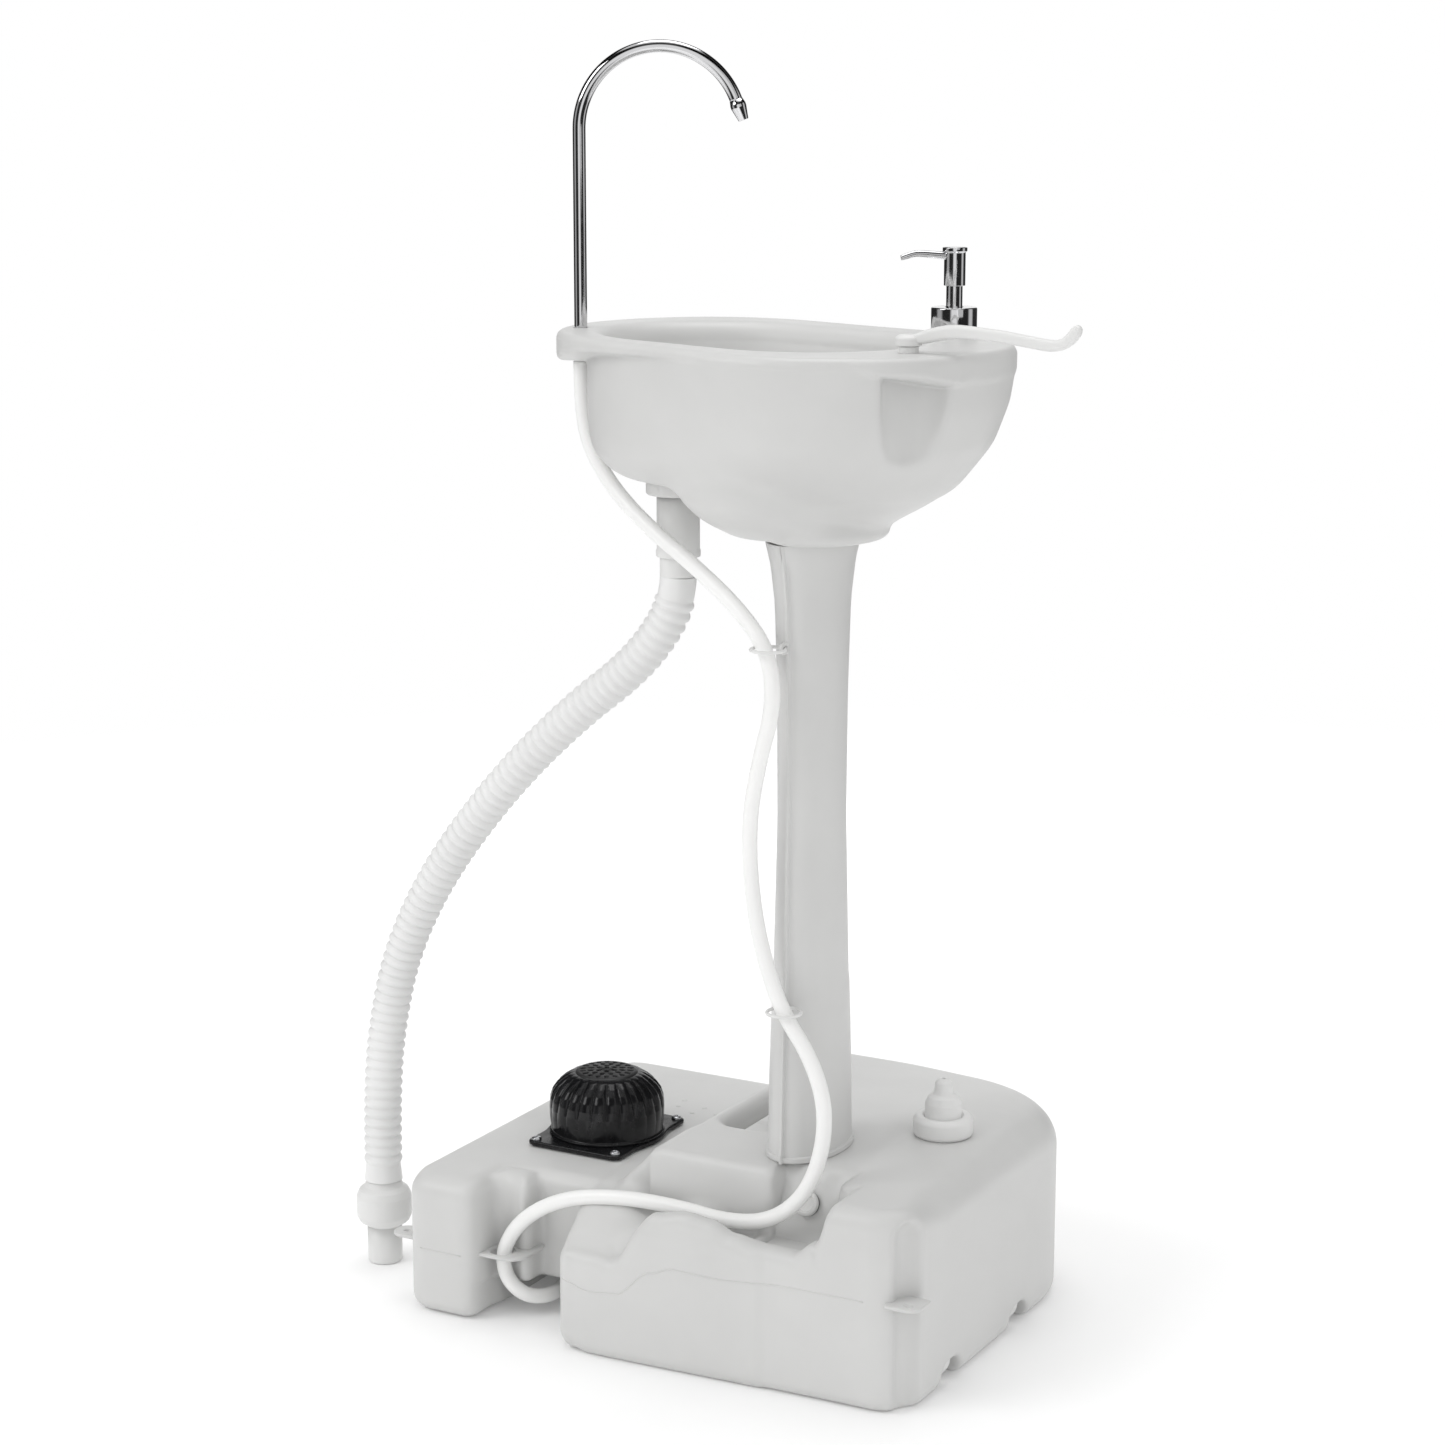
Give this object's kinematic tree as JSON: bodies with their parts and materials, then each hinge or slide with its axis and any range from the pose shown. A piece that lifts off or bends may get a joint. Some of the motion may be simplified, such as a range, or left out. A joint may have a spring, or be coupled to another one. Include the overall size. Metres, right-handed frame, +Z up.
{
  "type": "portable handwash sink",
  "caption": "Free-standing handwash sink: moulded bowl with gooseneck tap, soap pump and towel arm on a column over a water tank with a foot pump and two hoses.",
  "frame": {"origin": "on the floor under the axis of the column", "axes": "+X along the tank's long front to the right as seen from the front, +Y to the back, +Z up"},
  "size_m": [0.643, 0.367, 1.008],
  "materials": {
    "grey_hdpe": "blow-moulded, fine satin texture",
    "white_plastic": "satin",
    "white_hose": "soft satin",
    "black_rubber": "glossy moulded",
    "black_plastic": "gloss",
    "chrome": "polished",
    "zinc_steel": "zinc plated",
    "seal_rubber": "matt"
  },
  "bodies": {
    "base": {"tank_shell": "grey_hdpe", "column": "grey_hdpe", "basin_shell": "grey_hdpe", "towel_post": "white_plastic", "drain_collar": "white_plastic", "drain_tailpiece": "white_plastic", "hose_cuff": "white_plastic", "waste_nut": "white_plastic", "waste_spigot": "white_plastic", "hose_tie_upper": "white_plastic", "hose_tie_lower": "white_plastic", "pickup_tube": "white_plastic", "pickup_strainer": "white_plastic", "soap_bottle": "white_plastic", "soap_pump_body": "white_plastic", "soap_dip_tube": "white_plastic", "drain_hose": "white_plastic", "water_hose": "white_hose", "pump_bellows": "black_rubber", "pump_flange": "black_plastic", "pump_body": "black_plastic", "pump_outlet": "black_plastic", "faucet_shank": "chrome", "soap_collar": "chrome", "bowl_strainer": "chrome", "pump_screws": "zinc_steel", "pump_spring": "zinc_steel", "soap_spring": "zinc_steel", "axle_front": "zinc_steel", "axle_back": "zinc_steel", "pump_gasket": "seal_rubber", "inlet_valve": "seal_rubber", "outlet_valve": "seal_rubber", "outlet_grommet": "seal_rubber", "drain_gasket": "seal_rubber", "faucet_grommet": "seal_rubber"},
    "pump_tread": {"pump_tread": "black_rubber"},
    "faucet": {"faucet_spout": "chrome", "faucet_nozzle": "chrome"},
    "soap_plunger": {"soap_stem": "chrome"},
    "soap_spout": {"soap_head": "chrome"},
    "towel_arm": {"towel_arm": "white_plastic"},
    "filler_cap": {"filler_nut": "white_plastic", "filler_nozzle": "white_plastic", "filler_gasket": "seal_rubber"},
    "tank_plug": {"drain_plug": "white_plastic", "drain_plug_seal": "seal_rubber"},
    "front_wheel": {"wheel_front": "white_plastic"},
    "rear_wheel": {"wheel_back": "white_plastic"}
  },
  "joints": [
    {"name": "pump_press", "type": "slide", "parent": "base", "child": "pump_tread", "axis": [0, 0, -1], "range_m": [0, 0.035], "stiffness_N_per_m": 400, "deforming": ["pump_bellows", "pump_spring"]},
    {"name": "faucet_swivel", "type": "hinge", "parent": "base", "child": "faucet", "pos_m": [-0.202, -0.003, 0.78], "axis": [0, 0, 1], "continuous": true},
    {"name": "soap_press", "type": "slide", "parent": "base", "child": "soap_plunger", "axis": [0, 0, -1], "range_m": [0, 0.012], "stiffness_N_per_m": 300, "deforming": ["soap_spring"]},
    {"name": "soap_turn", "type": "hinge", "parent": "soap_plunger", "child": "soap_spout", "pos_m": [0.064, 0.108, 0.83], "axis": [0, 0, 1], "continuous": true},
    {"name": "towel_swing", "type": "hinge", "parent": "base", "child": "towel_arm", "pos_m": [0.096, -0.039, 0.79], "axis": [0, 0, 1], "range_deg": [-225, 75]},
    {"name": "filler_cap_lift", "type": "slide", "parent": "base", "child": "filler_cap", "axis": [0, 0, 1], "range_m": [0, 0.05]},
    {"name": "tank_plug_pull", "type": "slide", "parent": "base", "child": "tank_plug", "axis": [0, -0.921, 0.3896], "range_m": [0, 0.01]},
    {"name": "front_wheel_spin", "type": "hinge", "parent": "base", "child": "front_wheel", "pos_m": [0.118, -0.033, 0.018], "axis": [0, 1, 0], "continuous": true},
    {"name": "rear_wheel_spin", "type": "hinge", "parent": "base", "child": "rear_wheel", "pos_m": [0.118, 0.095, 0.018], "axis": [0, 1, 0], "continuous": true}
  ]
}
